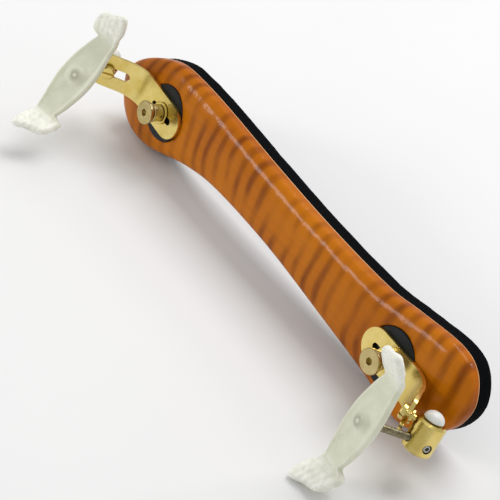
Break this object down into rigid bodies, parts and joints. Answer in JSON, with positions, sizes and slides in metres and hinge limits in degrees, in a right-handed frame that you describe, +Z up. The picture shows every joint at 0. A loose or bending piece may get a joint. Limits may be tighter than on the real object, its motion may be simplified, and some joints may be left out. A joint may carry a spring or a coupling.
{
  "type": "violin shoulder rest",
  "caption": "Violin shoulder rest: carved wooden bar with a foam back and two adjustable brass brackets carrying clip feet.",
  "frame": {"origin": "on the surface it stands on, below the middle of the bounding box", "axes": "+X along the bar, towards the end with the higher foot; +Y towards the foam back; +Z up, as it stands on its long lower edge and a foot"},
  "size_m": [0.2416, 0.0758, 0.0605],
  "materials": {
    "varnished_wood": "gloss varnish over flamed maple",
    "black_foam": "matte closed-cell foam",
    "dark_disc": "satin",
    "satin_brass": "polished",
    "steel": "bright",
    "frosted_plastic": "frosted, translucent",
    "white_plastic": "satin"
  },
  "bodies": {
    "bar": {"wood_body": "varnished_wood", "foam_pad": "black_foam", "left_base_disc": "dark_disc", "left_threaded_insert": "satin_brass", "right_base_disc": "dark_disc", "right_threaded_insert": "satin_brass"},
    "left_clamp_knob": {"left_clamp_screw": "satin_brass", "left_clamp_collar": "satin_brass", "left_clamp_bush": "satin_brass"},
    "left_swivel_washer": {"left_clamp_washer": "satin_brass"},
    "left_bracket": {"left_bracket_plate": "satin_brass"},
    "left_pivot": {"left_pivot_washer": "satin_brass"},
    "left_pivot_bolt": {"left_pivot_screw": "satin_brass"},
    "left_post": {"left_barrel": "satin_brass", "left_barrel_plug": "white_plastic"},
    "left_grub": {"left_grub_screw": "steel"},
    "left_rod": {"left_foot_rod": "steel"},
    "left_ball": {"left_foot_ball": "steel"},
    "left_foot": {"left_foot_claw": "frosted_plastic"},
    "right_clamp_knob": {"right_clamp_screw": "satin_brass", "right_clamp_collar": "satin_brass", "right_clamp_bush": "satin_brass"},
    "right_swivel_washer": {"right_clamp_washer": "satin_brass"},
    "right_bracket": {"right_bracket_plate": "satin_brass"},
    "right_pivot": {"right_pivot_washer": "satin_brass"},
    "right_pivot_bolt": {"right_pivot_screw": "satin_brass"},
    "right_post": {"right_barrel": "satin_brass", "right_barrel_plug": "white_plastic"},
    "right_grub": {"right_grub_screw": "steel"},
    "right_rod": {"right_foot_rod": "steel"},
    "right_ball": {"right_foot_ball": "steel"},
    "right_foot": {"right_foot_claw": "frosted_plastic"}
  },
  "joints": [
    {"name": "left_clamp_screw_turn", "type": "hinge", "parent": "bar", "child": "left_clamp_knob", "pos_m": [-0.0785, 0.01286, 0.02567], "axis": [0, -0.9687, 0.2483], "continuous": true},
    {"name": "left_bracket_swivel", "type": "hinge", "parent": "bar", "child": "left_swivel_washer", "pos_m": [-0.0785, 0.01286, 0.02567], "axis": [0, -0.9687, 0.2483], "range_deg": [-20, 20]},
    {"name": "left_bracket_slide", "type": "slide", "parent": "left_swivel_washer", "child": "left_bracket", "axis": [-0.9934, 0.0284, 0.1107], "range_m": [-0.005, 0.005]},
    {"name": "left_pivot_slide", "type": "slide", "parent": "left_bracket", "child": "left_pivot", "axis": [-0.5264, -0.8065, 0.2692], "range_m": [0, 0.0025]},
    {"name": "left_pivot_screw_turn", "type": "hinge", "parent": "left_pivot", "child": "left_pivot_bolt", "pos_m": [-0.1062, 0.0054, 0.03087], "axis": [0.8425, -0.5374, 0.0377], "continuous": true},
    {"name": "left_barrel_swing", "type": "hinge", "parent": "left_pivot", "child": "left_post", "pos_m": [-0.1062, 0.0054, 0.03087], "axis": [-0.8425, 0.5374, -0.0377], "range_deg": [-6, 20]},
    {"name": "left_grub_screw_turn", "type": "hinge", "parent": "left_post", "child": "left_grub", "pos_m": [-0.11452, 0.00794, 0.02502], "axis": [-0.9059, -0.3059, 0.2928], "continuous": true},
    {"name": "left_height_slide", "type": "slide", "parent": "left_post", "child": "left_rod", "axis": [0.3832, -0.8865, 0.2593], "range_m": [0, 0.005]},
    {"name": "left_foot_swivel", "type": "hinge", "parent": "left_rod", "child": "left_ball", "pos_m": [-0.1074, -0.00855, 0.02984], "axis": [0.3832, -0.8865, 0.2593], "range_deg": [-12, 15]},
    {"name": "left_foot_tilt", "type": "hinge", "parent": "left_ball", "child": "left_foot", "pos_m": [-0.1074, -0.00855, 0.02984], "axis": [0.9349, 0.2824, -0.2147], "range_deg": [-3, 28]},
    {"name": "right_clamp_screw_turn", "type": "hinge", "parent": "bar", "child": "right_clamp_knob", "pos_m": [0.08049, 0.01234, 0.02362], "axis": [0, -0.9687, 0.2483], "continuous": true},
    {"name": "right_bracket_swivel", "type": "hinge", "parent": "bar", "child": "right_swivel_washer", "pos_m": [0.08049, 0.01234, 0.02362], "axis": [0, -0.9687, 0.2483], "range_deg": [-20, 20]},
    {"name": "right_bracket_slide", "type": "slide", "parent": "right_swivel_washer", "child": "right_bracket", "axis": [0.9989, -0.0115, -0.045], "range_m": [-0.0045, 0.006]},
    {"name": "right_pivot_slide", "type": "slide", "parent": "right_bracket", "child": "right_pivot", "axis": [0.5293, -0.8276, 0.1867], "range_m": [0, 0.0025]},
    {"name": "right_pivot_screw_turn", "type": "hinge", "parent": "right_pivot", "child": "right_pivot_bolt", "pos_m": [0.10697, 0.00436, 0.02439], "axis": [-0.8471, -0.5035, 0.1697], "continuous": true},
    {"name": "right_barrel_swing", "type": "hinge", "parent": "right_pivot", "child": "right_post", "pos_m": [0.10697, 0.00436, 0.02439], "axis": [-0.8471, -0.5035, 0.1697], "range_deg": [-6, 25]},
    {"name": "right_grub_screw_turn", "type": "hinge", "parent": "right_post", "child": "right_grub", "pos_m": [0.11477, 0.00603, 0.01758], "axis": [0.9223, -0.3039, 0.2387], "continuous": true},
    {"name": "right_height_slide", "type": "slide", "parent": "right_post", "child": "right_rod", "axis": [-0.377, -0.8432, 0.3832], "range_m": [-0.001, 0.005]},
    {"name": "right_foot_swivel", "type": "hinge", "parent": "right_rod", "child": "right_ball", "pos_m": [0.10549, -0.01472, 0.02701], "axis": [-0.377, -0.8432, 0.3832], "range_deg": [-20, 20]},
    {"name": "right_foot_tilt", "type": "hinge", "parent": "right_ball", "child": "right_foot", "pos_m": [0.10549, -0.01472, 0.02701], "axis": [0.9751, -0.2217, 0], "range_deg": [-15, 15]}
  ]
}
